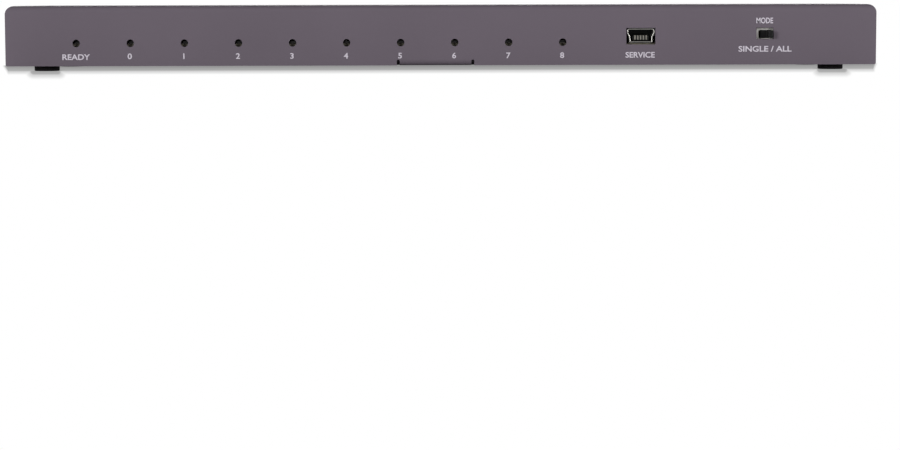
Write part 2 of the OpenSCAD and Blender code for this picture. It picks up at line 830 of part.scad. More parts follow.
module hdmi_contacts() {
    strip_l = tongue_root - tongue_recess - contact_setback;
    color("#c8a24a")
        for (k = [0 : outputs])
            hdmi_at(k) translate([0, -tongue_root, 0]) {
                translate([0, 0, tongue_t / 2])
                    contact_row(top_contacts, contact_pitch, contact_w, strip_l, contact_t);
                translate([0, 0, -tongue_t / 2 - contact_t])
                    contact_row(low_contacts, contact_pitch, contact_w, strip_l, contact_t);
            }
}

// Power inlet

module dc_jack_body() {
    pocket_w = dc_spring_w + 2 * fit_gap;
    color("#18181a") translate([dc_x, 0, z_dc])
        difference() {
            union() {
                slab([-dc_w / 2, y_dc - dc_len, -dc_axis], [dc_w / 2, y_dc, dc_h - dc_axis]);
                along_y(y_dc - eps, y_mouth) circle(d = dc_nose_d);
            }
            along_y(y_dc_bore, y_mouth + eps) circle(d = dc_bore_d);
            along_y(y_dc - dc_len - eps, y_mouth) circle(d = dc_root_d + 2 * fit_gap);
            slab([-pocket_w / 2, y_dc_bore, -dc_bore_d / 2 - dc_pocket], [pocket_w / 2, y_dc, 0]);
        }
}

// The pin has a thicker root that is pressed into the back of the body
module dc_jack_pin() {
    r = dc_pin_d / 2;
    tip = y_mouth - dc_pin_recess - r;
    color("#c9c7bf") translate([dc_x, 0, z_dc]) {
        along_y(y_dc - dc_len, y_dc_bore) circle(d = dc_root_d);
        along_y(y_dc_bore, tip) circle(r);
        translate([0, tip, 0]) sphere(r);
    }
}

// A leaf that leans up from the pocket under the bore to press on the plug's barrel
module dc_jack_spring() {
    color("#c9c7bf")
        translate([dc_x - dc_spring_w / 2, y_dc_bore + dc_spring_t, z_dc - dc_bore_d / 2 - dc_pocket])
            rotate([dc_spring_tilt, 0, 0])
                cube([dc_spring_w, y_dc - y_dc_bore - 3 * dc_spring_t, dc_spring_t]);
}

// Service port, a small five-contact socket with its mouth facing -Y

// The shell's outline, grown outwards by g: wide above, narrow below
function usb_outline(g) =
    let (slant = atan2((usb_w - usb_base_w) / 2, usb_taper_h),
        wide = usb_w / 2 + g,
        narrow = usb_base_w / 2 + g,
        rise = usb_h / 2 + g,
        turn = usb_turn - g * tan(slant / 2),
        waist = turn - usb_taper_h)
    [[-wide, rise], [-wide, turn], [-narrow, waist], [-narrow, -rise],
     [narrow, -rise], [narrow, waist], [wide, turn], [wide, rise]];

// The same outline with its two upper corners rounded
module usb_profile(g) {
    r = usb_corner_r + g;
    difference() {
        polygon(usb_outline(g));
        for (side = [-1, 1])
            translate([side * (usb_w / 2 + g), usb_h / 2 + g])
                difference() {
                    square(2 * r, center = true);
                    translate([-side * r, -r]) circle(r);
                }
    }
}

module usb_shell() {
    color("#bdbcb8") translate([usb_x, y_usb, z_usb]) {
        difference() {
            along_y(0, usb_len) usb_profile(0);
            along_y(-eps, usb_len + eps) usb_profile(-usb_wall);
        }
        for (side = [-1, 1])
            translate([side * (usb_base_w - usb_foot_w) / 2, 0, -usb_h / 2])
                slab([-usb_foot_w / 2, usb_foot_w, -usb_lift],
                    [usb_foot_w / 2, usb_len - usb_foot_w, usb_wall / 2]);
    }
}

module usb_insulator() {
    color("#1a1a1c") translate([usb_x, y_usb, z_usb]) {
        along_y(usb_len - usb_block_l, usb_len) usb_profile(-usb_wall - fit_gap);
        slab([-usb_tongue_w / 2, usb_tongue_recess, usb_tongue_top - usb_tongue_t],
            [usb_tongue_w / 2, usb_len, usb_tongue_top]);
    }
}

// Each contact lies on the tongue and turns down over its front
module usb_contacts() {
    strip_l = usb_len - usb_block_l - usb_tongue_recess + contact_t;
    color("#c8c4ba")
        translate([usb_x, y_usb + usb_tongue_recess - contact_t, z_usb + usb_tongue_top]) {
            contact_row(usb_contact_count, usb_contact_pitch, contact_w, strip_l, contact_t);
            translate([0, 0, -usb_leg_h])
                contact_row(usb_contact_count, usb_contact_pitch, contact_w, contact_t,
                    usb_leg_h + contact_t);
        }
}

// Slide switch

module switch_frame() {
    color("#b9b8b4") translate([sw_x, 0, z_sw])
        difference() {
            slab([-sw_w / 2, y_sw, -sw_h / 2], [sw_w / 2, sw_end_y, sw_h / 2]);
            slab([sw_wall - sw_w / 2, y_sw + sw_wall, sw_wall - sw_h / 2],
                [sw_w / 2 - sw_wall, sw_end_y + eps, sw_h / 2 - sw_wall]);
            along_y(y_sw - eps, y_sw + sw_wall + eps) rounded_rect(window_w, window_h, window_r);
        }
}

module switch_base() {
    half_w = sw_w / 2 - sw_wall - fit_gap;
    half_h = sw_h / 2 - sw_wall - fit_gap;
    color("#3b2a1c") translate([sw_x, 0, z_sw])
        slab([-half_w, sw_end_y - sw_base_t, -half_h], [half_w, sw_end_y, half_h]);
}

// The slider stands at the right-hand end of its travel
module slider_at() {
    translate([sw_x + sw_travel / 2, 0, z_sw]) children();
}

module switch_slider() {
    color("#141414") slider_at() {
        slab([-slider_w / 2, y_slider, -slider_h / 2], [slider_w / 2, y_slider + slider_t, slider_h / 2]);
        slab([-knob_w / 2, y_front - knob_proud, -knob_h / 2],
            [knob_w / 2, y_slider + slider_t, knob_h / 2]);
    }
}

// The moving contact, with two bowed ends that brush along the base
module switch_clip() {
    y_clip = y_slider + slider_t;
    color("#c8a24a") slider_at() {
        slab([-clip_w / 2, y_clip, -clip_h / 2], [clip_w / 2, y_clip + clip_t, clip_h / 2]);
        for (side = [-1, 1])
            translate([side * clip_w / 3, y_clip + clip_bow_r, -clip_h / 2])
                cylinder(h = clip_h, r = clip_bow_r);
    }
}

// Circuit parts

module chip(x, y, s, h) {
    color("#202023") translate([x, y, z_parts]) slab([-s / 2, -s / 2, 0], [s / 2, s / 2, h]);
}

module thermal_pads() {
    color("#8fa3b5")
        for (side = [-1, 1])
            translate([side * chip_x, y_chip, z_parts + chip_h])
                slab([-chip_s / 2, -chip_s / 2, 0], [chip_s / 2, chip_s / 2, pad_t]);
}

module heat_sink(x) {
    step = (sink_s - fin_t) / (fin_count - 1);
    color("#a9abae") translate([x - sink_s / 2, y_chip - sink_s / 2, z_parts + chip_h + pad_t]) {
        cube([sink_s, sink_s, sink_base_t]);
        for (i = [0 : fin_count - 1])
            translate([i * step, 0, 0]) cube([fin_t, sink_s, sink_base_t + fin_h]);
    }
}

module crystal_can() {
    r = crystal_d / 2;
    color("#c4c4c0") translate([-mcu_x - mcu_s / 2 - crystal_w, y_chip, z_parts])
        linear_extrude(crystal_h) {
            square([crystal_w - crystal_d, crystal_d], center = true);
            for (side = [-1, 1])
                translate([side * (crystal_w / 2 - r), 0]) circle(r);
        }
}

module power_inductor() {
    color("#2b2b2e") translate([coil_x, y_chip, z_parts])
        linear_extrude(coil_h)
            intersection() {
                square(coil_s, center = true);
                rotate(45) square((coil_s - coil_corner) * sqrt(2), center = true);
            }
}

module capacitors() {
    color("#b0b2b5")
        for (i = [0 : cap_count - 1])
            translate([cap_x, y_chip + (i - (cap_count - 1) / 2) * cap_pitch, z_parts]) {
                linear_extrude(cap_base_h) square(cap_d, center = true);
                cylinder(h = cap_h, d = cap_d);
            }
}

top_cover();
base_tray();
side_screws();
tab_screw();
for (i = [0 : len(feet) - 1])
    foot(foot_at[i]);
main_board();
board_standoffs();
board_screws();
for (k = [0 : outputs])
    hdmi_shell(k);
for (k = [0 : outputs])
    hdmi_insulator(k);
hdmi_contacts();
dc_jack_body();
dc_jack_pin();
dc_jack_spring();
usb_shell();
usb_insulator();
usb_contacts();
switch_frame();
switch_base();
switch_slider();
switch_clip();
for (i = [0 : len(leds) - 1])
    led(led_x[i]);
chip(-chip_x, y_chip, chip_s, chip_h);  // splitter_chip_left
chip(chip_x, y_chip, chip_s, chip_h);  // splitter_chip_right
thermal_pads();
heat_sink(-chip_x);  // heat_sink_left
heat_sink(chip_x);  // heat_sink_right
chip(-mcu_x, y_chip, mcu_s, chip_h);  // controller_chip
crystal_can();
power_inductor();
capacitors();
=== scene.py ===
"""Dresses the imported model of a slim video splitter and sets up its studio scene."""

import math

import bpy
from bpy.props import FloatProperty, FloatVectorProperty, PointerProperty
from bpy.types import Operator, Panel, PropertyGroup
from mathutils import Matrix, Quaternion, Vector
from mathutils.bvhtree import BVHTree


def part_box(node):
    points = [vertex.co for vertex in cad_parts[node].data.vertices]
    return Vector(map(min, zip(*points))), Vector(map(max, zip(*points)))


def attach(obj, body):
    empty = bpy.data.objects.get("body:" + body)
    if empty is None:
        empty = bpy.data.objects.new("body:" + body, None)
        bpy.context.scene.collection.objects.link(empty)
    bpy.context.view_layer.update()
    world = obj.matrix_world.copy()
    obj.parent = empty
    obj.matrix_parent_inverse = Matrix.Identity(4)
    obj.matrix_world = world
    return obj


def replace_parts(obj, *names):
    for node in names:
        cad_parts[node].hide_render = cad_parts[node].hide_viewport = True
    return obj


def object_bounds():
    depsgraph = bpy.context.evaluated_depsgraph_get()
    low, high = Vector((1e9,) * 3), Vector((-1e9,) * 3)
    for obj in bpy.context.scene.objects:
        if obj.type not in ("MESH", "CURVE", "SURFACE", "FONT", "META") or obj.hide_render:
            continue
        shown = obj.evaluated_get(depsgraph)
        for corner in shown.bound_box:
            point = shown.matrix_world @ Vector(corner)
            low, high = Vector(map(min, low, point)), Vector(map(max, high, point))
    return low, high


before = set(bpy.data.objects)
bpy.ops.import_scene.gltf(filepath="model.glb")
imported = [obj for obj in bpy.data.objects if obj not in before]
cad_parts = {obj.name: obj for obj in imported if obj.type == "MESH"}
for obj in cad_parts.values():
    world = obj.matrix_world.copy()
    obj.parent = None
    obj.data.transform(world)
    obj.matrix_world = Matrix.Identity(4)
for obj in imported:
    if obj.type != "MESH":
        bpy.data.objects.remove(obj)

bl_info = {
    "name": "Video splitter",
    "version": (1, 0, 0),
    "blender": (4, 5, 0),
    "location": "View3D > Sidebar > Splitter",
    "description": "Finishes the pieces of a slim video splitter and sets up its studio",
    "category": "Object",
}

MM = 0.001
CAD_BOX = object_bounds()
CASE = "case"
SLIDER = "mode_slider"
PORTS = ["in"] + [f"out_{k}" for k in range(1, 9)]
FEET = ["foot_front_left", "foot_front_right", "foot_rear_left", "foot_rear_right"]
LEDS = ["power_led", "input_led"] + [f"output_led_{k}" for k in range(1, 9)]

# Joining a node's loose triangles into flat faces
MERGE_GAP = 1e-7
FLAT_ANGLE = math.radians(0.6)
SHARP_ANGLE = math.radians(34)
SMOOTH_ANGLE = math.radians(40)

# A rounding that strays by this share of its width is undone, with the edges this near to it
STRAY_SHARE = 0.5
STRAY_FACTOR = 1.3
STRAY_WIDTHS = 2

# The floor: its size in metres, and its glow and its tone from the darkest painted shade outwards
FLOOR_SIZE = 24
FLOOR_GLOW_AND_PAINTED_SHADE = ((0.0, 0.29), (0.1, 0.3), (0.18, 0.31), (0.25, 0.37), (0.33, 0.385), (0.4, 0.42),
              (0.48, 0.63), (0.57, 0.7), (0.67, 0.8), (0.76, 0.96), (0.85, 1.0))
FLOOR_TONE_AND_PAINTED_SHADE = ((0.4, 0.12), (0.85, 0.96))

# The shade of the case, painted on the floor by position: how far it starts inside the case's ends, and how
# many times as fast it fades behind the case and sideways. Behind the case the sideways fade goes from sharp
# to soft.
PAINTED_SHADE_INSET = 1.0 * MM
REAR_FADE = 5.0
SIDE_FADE = 50.0
SOFT_SIDE_FADE = 14.0
SIDE_FADE_START = 80.0
SIDE_FADE_DROP = 900.0

# The shade of a front foot, painted on the floor in front of it: where it starts on the floor's curves,
# how steeply it pales, how many times as fast it fades sideways, and the share of the foot's width that it
# fills on each side of the middle
FOOT_PAINTED_SHADE_START = 0.2
FOOT_PAINTED_SHADE_SLOPE = 0.38
FOOT_FADE = 30.0
FOOT_SHARE = 0.45

# The corners of a foot's outline, and the share of its radius that the flat rim under it takes
FOOT_SIDES = 72
FOOT_RIM = 0.3

# The lamps: place and size in metres
SIDE_LAMP = (2.6, -2.3, 0.66)
SIDE_LAMP_SIZE = (1.2, 0.9)
REAR_LAMP = (0.0, 1.5, 0.55)
REAR_LAMP_SIZE = (1.2, 0.2)

# The level of the print on the rear lip, and how far the strokes of a letter of size one are thickened
LIP_PRINT = 15.15 * MM
LETTER_WEIGHT = 0.02


def srgb(red, green, blue):
    """A colour that is written as a screen shows it, in the linear values that Blender keeps."""
    linear = []
    for level in (red, green, blue):
        share = level / 255
        linear.append(share / 12.92 if share <= 0.04045 else ((share + 0.055) / 1.055) ** 2.4)
    return tuple(linear)


def scaled(colour, by):
    """A colour made lighter or darker, with its alpha."""
    return (colour[0] * by, colour[1] * by, colour[2] * by, 1)


class SplitterPaint(PropertyGroup):
    """Colours of the finishes."""

    case: FloatVectorProperty(
        name="Case", description="Satin paint of the case", subtype="COLOR", default=srgb(99, 91, 100))
    ink: FloatVectorProperty(
        name="Print", description="Ink of the printed legends", subtype="COLOR", default=srgb(198, 192, 202))
    mask: FloatVectorProperty(
        name="Board", description="Lacquer on the circuit board", subtype="COLOR", default=srgb(24, 66, 40))
    laminate: FloatVectorProperty(
        name="Board edge", description="Bare edge of the circuit board", subtype="COLOR",
        default=srgb(98, 93, 80))
    plating: FloatVectorProperty(
        name="Plating", description="Plated steel of the sockets", subtype="COLOR",
        default=srgb(214, 212, 206))
    plastic: FloatVectorProperty(
        name="Plastic", description="Black plastic of the sockets and the knob", subtype="COLOR",
        default=srgb(11, 11, 12))
    rubber: FloatVectorProperty(
        name="Feet", description="Rubber of the feet", subtype="COLOR", default=srgb(30, 28, 30))


class SplitterShape(PropertyGroup):
    """Sizes of the details that the finished pieces get."""

    sheet_edge: FloatProperty(
        name="Sheet edge", description="Rounding of cut sheet metal", unit="LENGTH", default=0.1 * MM)
    shell_edge: FloatProperty(
        name="Shell edge", description="Rounding of the thin socket shells", unit="LENGTH", default=0.05 * MM)
    port_edge: FloatProperty(
        name="Port edge", description="Rounding of the service port's rim", unit="LENGTH", default=0.13 * MM)
    plastic_edge: FloatProperty(
        name="Plastic edge", description="Rounding of moulded plastic", unit="LENGTH", default=0.12 * MM)
    knob_edge: FloatProperty(
        name="Knob edge", description="Rounding of the switch's knob", unit="LENGTH", default=0.16 * MM)
    foot_edge: FloatProperty(
        name="Foot edge", description="Rounding of a foot's lower edge", unit="LENGTH", default=0.28 * MM)
    foot_dish: FloatProperty(
        name="Foot dish", description="Depth of the hollow under a foot", unit="LENGTH", default=0.25 * MM)
    letter: FloatProperty(
        name="Letters", description="Height of the capitals on the front", unit="LENGTH", default=1.58 * MM)
    rear_letter: FloatProperty(
        name="Rear letters", description="Height of the capitals on the rear lip", unit="LENGTH",
        default=1.3 * MM)
    ink: FloatProperty(
        name="Ink", description="Thickness of the printed ink", unit="LENGTH", default=0.02 * MM)


class SplitterStage(PropertyGroup):
    """The camera, the light and the floor."""

    distance: FloatProperty(
        name="Distance", description="From the camera to the front panel", unit="LENGTH", default=0.7)
    height: FloatProperty(
        name="Height", description="Of the camera above the floor", unit="LENGTH", default=0.020)
    lens: FloatProperty(name="Lens", description="Focal length in millimetres", default=99.3)
    side: FloatProperty(
        name="Side", description="How far right of the middle the camera stands", unit="LENGTH",
        default=-2.5 * MM)
    aim_side: FloatProperty(
        name="Aim to the right", description="Of the panel's middle", unit="LENGTH", default=2.35 * MM)
    aim_down: FloatProperty(
        name="Aim below", description="The level of the floor, at the panel", unit="LENGTH",
        default=43.64 * MM)
    roll: FloatProperty(
        name="Roll", description="Turn of the camera about its line of sight", subtype="ANGLE",
        default=math.radians(-0.14))
    front: FloatProperty(name="Front", description="Light of the surround in front of the case", default=0.2)
    sides: FloatProperty(name="Sides", description="Light of the surround beside the camera", default=0.6)
    back: FloatProperty(name="Back", description="Light of the surround behind the case", default=0.6)
    above: FloatProperty(name="Above", description="Light of the surround overhead", default=0.03)
    key: FloatProperty(name="Key lamps", description="Power of each lamp beside the camera", default=79.5)
    fill: FloatProperty(name="Rear lamp", description="Power of the low lamp behind the case", default=18.0)
    # The shade whose reach this sets is painted on the floor by position around the case; the lamps don't
    # cast it
    shade: FloatProperty(
        name="Shade", description="Reach of the shade that the case throws on the glowing floor",
        unit="LENGTH", default=50 * MM)


class Wire:
    """A value in a finish's nodes, which can be added to, multiplied and compared."""

    def __init__(self, finish, socket):
        self.finish = finish
        self.socket = socket

    def __add__(self, other):
        return self.finish.calc("ADD", self, other)

    __radd__ = __add__

    def __sub__(self, other):
        return self.finish.calc("SUBTRACT", self, other)

    def __rsub__(self, other):
        return self.finish.calc("SUBTRACT", other, self)

    def __mul__(self, other):
        return self.finish.calc("MULTIPLY", self, other)

    __rmul__ = __mul__

    def __gt__(self, other):
        return self.finish.calc("GREATER_THAN", self, other)

    def __lt__(self, other):
        return self.finish.calc("LESS_THAN", self, other)


class Nodes:
    """A node tree that is being wired up."""

    def __init__(self, tree):
        self.tree = tree
        self.tree.nodes.clear()

    def node(self, kind, settings=None, values=None, output=0):
        """Adds a node, sets it up, feeds its sockets and gives back one of its outputs."""
        made = self.tree.nodes.new(kind)
        for key, value in (settings or {}).items():
            if key == "stops":
                for stop, (position, level) in zip(self.ramp_stops(made, len(value)), value):
                    stop.position = position
                    stop.color = (level, level, level, 1)
            else:
                setattr(made, key, value)
        for key, value in (values or {}).items():
            self.feed(made.inputs[key], value)
        return Wire(self, made.outputs[output]) if made.outputs else None

    @staticmethod
    def ramp_stops(made, count):
        stops = made.color_ramp.elements
        while len(stops) < count:
            stops.new(1)
        return stops

    def feed(self, socket, value):
        if isinstance(value, Wire):
            self.tree.links.new(value.socket, socket)
        else:
            socket.default_value = value

    def calc(self, operation, *values):
        """One step of arithmetic."""
        return self.node("ShaderNodeMath", {"operation": operation}, dict(enumerate(values)))

    def mix(self, share, first, second):
        """Goes from the first colour to the second as the share goes from 0 to 1."""
        return self.node("ShaderNodeMix", {"data_type": "RGBA"}, {0: share, 6: first, 7: second}, 2)

    def ramp(self, value, *stops):
        """A value read off a curve of straight lines through the stops."""
        return self.node("ShaderNodeValToRGB", {"stops": stops}, {"Fac": value})

    def seen(self, *rays):
        """One for rays from the camera, and for those that a shiny or clear surface sends on."""
        path = self.node("ShaderNodeLightPath").socket.node.outputs
        return sum(Wire(self, path[f"Is {ray} Ray"]) for ray in rays or ("Camera", "Glossy", "Transmission"))

    def parts(self, vector):
        """The X, Y and Z of a vector."""
        split = self.node("ShaderNodeSeparateXYZ", {}, {"Vector": vector})
        return [Wire(self, out) for out in split.socket.node.outputs]


class Finish(Nodes):
    """A procedural material on one surface shader."""

    def __init__(self, name, **constants):
        self.material = bpy.data.materials.new(name)
        self.material.use_nodes = True
        super().__init__(self.material.node_tree)
        surface = self.node("ShaderNodeBsdfPrincipled")
        self.sockets = surface.socket.node.inputs
        self.node("ShaderNodeOutputMaterial", {}, {"Surface": surface})
        self.place = self.node("ShaderNodeTexCoord", output=3)
        for socket, value in constants.items():
            self.sockets[socket.replace("_", " ")].default_value = value

    def noise(self, scale, detail=2.0, rough=0.5, at=None):
        """Clouds of about one part in scale of a metre."""
        values = {"Vector": at or self.place, "Scale": scale, "Detail": detail, "Roughness": rough}
        return self.node("ShaderNodeTexNoise", {}, values)

    def drawn(self, along, across, axis):
        """Noise drawn out into streaks along one axis."""
        stretch = [across, across, across]
        stretch[axis] = along
        at = self.node("ShaderNodeMapping", {}, {"Vector": self.place, "Scale": stretch})
        return self.noise(1.0, 3.0, 0.6, at)

    def upward(self):
        """One on faces that look up or down, and nought on upright ones."""
        normal = self.parts(self.node("ShaderNodeNewGeometry", output=1))[2]
        return self.calc("ABSOLUTE", normal) > 0.7

    def wear(self, colour, rough, relief=None, depth=0.02 * MM, strength=0.2):
        """Feeds the shader's colour, roughness and relief."""
        self.feed(self.sockets["Base Color"], colour)
        self.feed(self.sockets["Roughness"], rough)
        if relief is not None:
            values = {"Height": relief, "Distance": depth, "Strength": strength}
            self.feed(self.sockets["Normal"], self.node("ShaderNodeBump", {}, values))
        return self.material


def satin_paint(name, colour, rough):
    """Sprayed satin paint: an even colour with a very fine grain."""
    paint = Finish(name, Specular_IOR_Level=0.08)
    cloud = paint.noise(26, 3)
    speck = paint.noise(1400, 3, 0.6)
    grain = paint.noise(4600, 2)
    tone = paint.mix(cloud * 0.8 + speck * 0.2, scaled(colour, 0.9), scaled(colour, 1.1))
    return paint.wear(tone, rough + 0.12 * (speck - 0.5), grain, 0.03 * MM, 0.22)


def plated_metal(name, colour, rough, axis=1, dull=0.8, metallic=1.0):
    """Plated sheet with fine drawing lines and faint dull patches."""
    metal = Finish(name, Metallic=metallic)
    line = metal.drawn(220, 5200, axis)
    patch = metal.noise(520, 3, 0.6)
    tone = metal.mix(patch, scaled(colour, dull), scaled(colour, 1.0))
    return metal.wear(tone, rough + 0.16 * line + 0.1 * patch - 0.1, line, 0.006 * MM, 0.25)


def moulded(name, colour, rough, grain=3800, strength=0.25):
    """Moulded plastic, resin or rubber with a fine tooled skin."""
    plastic = Finish(name, Specular_IOR_Level=0.2)
    skin = plastic.noise(grain, 2)
    bloom = plastic.noise(300, 3)
    tone = plastic.mix(bloom, scaled(colour, 0.75), scaled(colour, 1.3))
    return plastic.wear(tone, rough + 0.14 * (bloom - 0.5), skin, 0.02 * MM, strength)


def printed_ink(name, colour):
    """Screen-printed ink, a little thin in places."""
    ink = Finish(name)
    thin = ink.noise(5200, 2, 0.6)
    tone = ink.mix(thin, scaled(colour, 0.82), scaled(colour, 1.08))
    return ink.wear(tone, 0.5 + 0.2 * (thin - 0.5))


def lacquered_board(name, mask, edge):
    """A green lacquered board with conductors under the lacquer and a bare laminate edge."""
    board = Finish(name)
    x, y, _ = board.parts(board.place)
    bend = board.noise(90, 1)
    lane = board.calc("SINE", (x + bend * 0.01) * 5200)
    cross = board.calc("SINE", (y + bend * 0.01) * 4100)
    track = ((lane > 0.55) * (bend > 0.48)) + ((cross > 0.6) * (bend < 0.44))
    ply = board.noise(1.0, 2, 0.5, board.node(
        "ShaderNodeMapping", {}, {"Vector": board.place, "Scale": (900, 900, 9000)}))
    face = board.mix(track, scaled(mask, 1.0), scaled(mask, 1.9))
    rim = board.mix(ply, scaled(edge, 0.75), scaled(edge, 1.15))
    flat = board.upward()
    tone = board.mix(flat, rim, face)
    return board.wear(tone, 0.75 - flat * 0.4, track * flat + ply * 0.3, 0.03 * MM, 0.3)


def smoked_diode(name, level):
    """A diode with a smoked lens on a pale base, which ends at a level."""
    diode = Finish(name, Coat_Weight=0.2, Coat_Roughness=0.2, Specular_IOR_Level=0.3)
    z = diode.parts(diode.place)[2]
    cloud = diode.noise(1600, 2)
    lens = diode.mix(cloud, (*srgb(14, 14, 15), 1), (*srgb(32, 31, 31), 1))
    base = diode.mix(cloud, (*srgb(168, 164, 152), 1), (*srgb(206, 202, 190), 1))
    return diode.wear(diode.mix(z < level, lens, base), 0.3 + 0.2 * cloud, cloud, 0.01 * MM, 0.2)


def only(piece):
    """Selects one piece and nothing else."""
    bpy.ops.object.select_all(action="DESELECT")
    piece.select_set(True)
    bpy.context.view_layer.objects.active = piece


def edit(piece):
    """Opens a piece with all of it selected."""
    only(piece)
    bpy.ops.object.mode_set(mode="EDIT")
    bpy.ops.mesh.select_all(action="SELECT")


def close():
    """Leaves edit mode."""
    bpy.ops.object.mode_set(mode="OBJECT")


def pick_faces(piece, wanted):
    """Opens a piece with the faces selected that pass a test."""
    edit(piece)
    bpy.context.tool_settings.mesh_select_mode = (False, False, True)
    bpy.ops.mesh.select_all(action="DESELECT")
    close()
    for face in piece.data.polygons:
        face.select = wanted(face)
    bpy.ops.object.mode_set(mode="EDIT")


def belongs(piece, material, body=CASE):
    """Gives a piece its finish and the body that it moves with."""
    piece.data.materials.clear()
    piece.data.materials.append(material)
    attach(piece, body)
    return piece


def smooth(piece):
    """Shades a piece smooth over its roundings, with its flat faces flat."""
    only(piece)
    bpy.ops.object.shade_smooth_by_angle(angle=SMOOTH_ANGLE)
    weighted = piece.modifiers.new("Normals", "WEIGHTED_NORMAL")
    weighted.keep_sharp = True
    bpy.ops.object.modifier_apply(modifier=weighted.name)


def copy_of(mesh, name):
    """A new object with its own copy of a mesh."""
    piece = bpy.data.objects.new(name, mesh.copy())
    bpy.context.scene.collection.objects.link(piece)
    return piece


def sharp_edges(piece):
    """The edges at which two faces meet at a sharp angle."""
    edit(piece)
    bpy.context.tool_settings.mesh_select_mode = (False, True, False)
    bpy.ops.mesh.select_all(action="DESELECT")
    bpy.ops.mesh.edges_select_sharp(sharpness=SHARP_ANGLE)
    close()
    return {edge.index for edge in piece.data.edges if edge.select}


def rounded(piece, edges, width, rings):
    """A copy of a piece with some of its edges rounded."""
    trial = copy_of(piece.data, piece.name)
    weights = trial.data.attributes.new("bevel_weight_edge", "FLOAT", "EDGE")
    for index in edges:
        weights.data[index].value = 1.0
    only(trial)
    rounding = trial.modifiers.new("Edges", "BEVEL")
    rounding.width = width
    rounding.segments = rings
    rounding.limit_method = "WEIGHT"
    rounding.use_clamp_overlap = False
    rounding.loop_slide = False
    bpy.ops.object.modifier_apply(modifier=rounding.name)
    return trial


def round_edges(piece, width, rings):
    """Rounds the sharp edges of a piece, apart from those beside walls too narrow to take it."""
    mesh = piece.data
    surface = BVHTree.FromPolygons([point.co for point in mesh.vertices],
                                   [face.vertices[:] for face in mesh.polygons])
    edges = sharp_edges(piece)
    while True:
        trial = rounded(piece, edges, width, rings)
        stray = []
        for point in trial.data.vertices:
            off = surface.find_nearest(point.co)[3]
            if off > STRAY_SHARE * width:
                stray.append((point.co.copy(), STRAY_FACTOR * off + STRAY_WIDTHS * width))
        spoilt = {index for index in edges for end in mesh.edges[index].vertices
                  if any((mesh.vertices[end].co - place).length < near for place, near in stray)}
        if not spoilt:
            bpy.data.objects.remove(piece)
            return trial
        edges -= spoilt
        bpy.data.objects.remove(trial)


def refine(node, edge, material, body=CASE, rings=2):
    """Stands a copy of a node in its place, with its triangles joined and its edges rounded."""
    piece = copy_of(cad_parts[node].data, node + "_plain")
    edit(piece)
    bpy.ops.mesh.customdata_custom_splitnormals_clear()
    bpy.ops.mesh.remove_doubles(threshold=MERGE_GAP)
    bpy.ops.mesh.dissolve_limited(angle_limit=FLAT_ANGLE)
    close()
    piece = round_edges(piece, edge, rings)
    piece.name = node + "_finished"
    smooth(piece)
    belongs(piece, material, body)
    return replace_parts(piece, node)


def repaint(nodes, material):
    """Gives nodes that keep their shape a better finish."""
    for node in nodes:
        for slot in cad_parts[node].material_slots:
            slot.material = material


class SPLITTER_OT_case(Operator):
    """Rounds and paints the folded cover and the tray under it"""

    bl_idname = "splitter.case"
    bl_label = "Case"

    def execute(self, context):
        paint, shape = context.scene.splitter_paint, context.scene.splitter_shape
        refine("top_cover", shape.sheet_edge, satin_paint("case_paint", paint.case, 0.74))
        tray = satin_paint("tray_paint", scaled(paint.case, 0.85), 0.76)
        refine("base_tray", shape.sheet_edge, tray)
        return {"FINISHED"}


class SPLITTER_OT_feet(Operator):
    """Models the four rubber feet"""

    bl_idname = "splitter.feet"
    bl_label = "Feet"

    def execute(self, context):
        shape = context.scene.splitter_shape
        rubber = moulded("foot_rubber", context.scene.splitter_paint.rubber, 0.8, 2600, 0.5)
        for node in FEET:
            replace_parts(belongs(self.foot(node, shape), rubber), node)
        return {"FINISHED"}

    @staticmethod
    def foot(node, shape):
        """A disc with a rounded lower edge and a shallow hollow under it."""
        low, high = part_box(node)
        radius = (high.x - low.x) / 2
        bpy.ops.object.select_all(action="DESELECT")
        bpy.ops.mesh.primitive_cylinder_add(
            vertices=FOOT_SIDES, radius=radius, depth=high.z - low.z, location=(low + high) / 2)
        piece = bpy.context.object
        piece.name = node + "_finished"
        bpy.ops.object.transform_apply(location=True, rotation=True, scale=True)
        pick_faces(piece, lambda face: face.normal.z < -0.9)
        bpy.ops.mesh.bevel(offset=shape.foot_edge, segments=5, affect="EDGES")
        close()
        pick_faces(piece, lambda face: face.normal.z < -0.99)
        bpy.ops.mesh.inset(thickness=radius * FOOT_RIM)
        bpy.ops.mesh.inset(thickness=shape.foot_dish, depth=-shape.foot_dish)
        close()
        smooth(piece)
        return piece


class SPLITTER_OT_fixings(Operator):
    """Finishes the screws and the standoffs"""

    bl_idname = "splitter.fixings"
    bl_label = "Fixings"

    def execute(self, context):
        black = plated_metal("screw_black", srgb(58, 56, 60), 0.42, 2, 0.7)
        zinc = plated_metal("zinc_steel", srgb(200, 199, 192), 0.34, 2)
        repaint(["side_screws", "tab_screw"], black)
        repaint(["board_standoffs", "board_screws"], zinc)
        return {"FINISHED"}


class SPLITTER_OT_board(Operator):
    """Finishes the circuit board and the parts on it"""

    bl_idname = "splitter.board"
    bl_label = "Board"

    def execute(self, context):
        paint = context.scene.splitter_paint
        repaint(["main_board"], lacquered_board("board_laminate", paint.mask, paint.laminate))
        resin = moulded("chip_resin", srgb(40, 40, 42), 0.6, 5200, 0.4)
        repaint(["splitter_chip_left", "splitter_chip_right", "controller_chip", "power_inductor"], resin)
        repaint(["thermal_pads"], moulded("pad_silicone", srgb(150, 160, 172), 0.75, 3000, 0.4))
        aluminium = plated_metal("bare_aluminium", srgb(205, 207, 210), 0.38, 1)
        repaint(["heat_sink_left", "heat_sink_right", "capacitors"], aluminium)
        repaint(["crystal_can"], plated_metal("can_steel", paint.plating, 0.3, 0))
        return {"FINISHED"}


